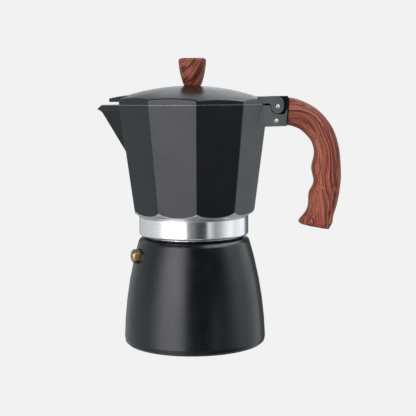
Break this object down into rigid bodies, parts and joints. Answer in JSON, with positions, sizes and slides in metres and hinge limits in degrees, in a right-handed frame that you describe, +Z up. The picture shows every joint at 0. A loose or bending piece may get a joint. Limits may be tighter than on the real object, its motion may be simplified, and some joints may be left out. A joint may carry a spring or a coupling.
{
  "type": "moka pot",
  "caption": "Stovetop moka pot: round boiler with a safety valve, screwed under a faceted collector with a spout, hinged domed lid with a knob, and a pistol-grip handle.",
  "frame": {"origin": "centre of the boiler's flat base, on the pot's axis", "axes": "+Z up along the pot's axis, -X towards the spout, +X towards the handle, -Y towards the side that shows the safety valve"},
  "size_m": [0.1692, 0.1062, 0.198],
  "materials": {
    "black_coat": "satin black heat-proof coat over cast aluminium",
    "bare_aluminium": "polished",
    "cast_aluminium": "satin",
    "brass": "turned",
    "steel": "bright",
    "spring_steel": "drawn wire",
    "silicone": "matte",
    "fibre": "matte",
    "wood_grain": "reddish brown grain, satin lacquer",
    "black_spacer": "matte"
  },
  "bodies": {
    "boiler": {"boiler": "black_coat", "safety_valve_body": "brass", "safety_valve_washer": "fibre", "safety_valve_seat": "brass", "safety_valve_spring": "spring_steel", "funnel": "cast_aluminium", "funnel_strainer": "cast_aluminium"},
    "safety_valve_pin": {"safety_valve_pin": "brass"},
    "seal": {"gasket": "silicone", "filter_plate": "cast_aluminium"},
    "collector": {"collector": "black_coat", "threaded_collar": "bare_aluminium", "coffee_column": "cast_aluminium", "hinge_pin": "steel", "handle_pin": "steel", "handle_tongue": "steel", "handle": "wood_grain"},
    "lid": {"lid": "black_coat", "knob": "wood_grain", "knob_insert": "brass", "knob_spacer": "black_spacer", "knob_washer": "steel", "knob_screw": "steel"}
  },
  "joints": [
    {"name": "safety_valve_pop", "type": "slide", "parent": "boiler", "child": "safety_valve_pin", "axis": [-0.9511, -0.309, 0], "range_m": [0, 0.0015], "stiffness_N_per_m": 800, "springref_m": -0.001, "deforming": ["safety_valve_spring"]},
    {"name": "collector_rise", "type": "slide", "parent": "boiler", "child": "seal", "axis": [0, 0, 1], "range_m": [0, 0.0101]},
    {"name": "collector_turn", "type": "hinge", "parent": "seal", "child": "collector", "pos_m": [0, 0, 0.08], "axis": [0, 0, 1], "range_deg": [0, 900]},
    {"name": "lid_hinge", "type": "hinge", "parent": "collector", "child": "lid", "pos_m": [0.0569, 0, 0.16445], "axis": [0, 1, 0], "range_deg": [0, 100]}
  ],
  "couplings": [
    {"joint": "collector_rise", "follows": "collector_turn", "m_per_rad": 0.00063662}
  ]
}
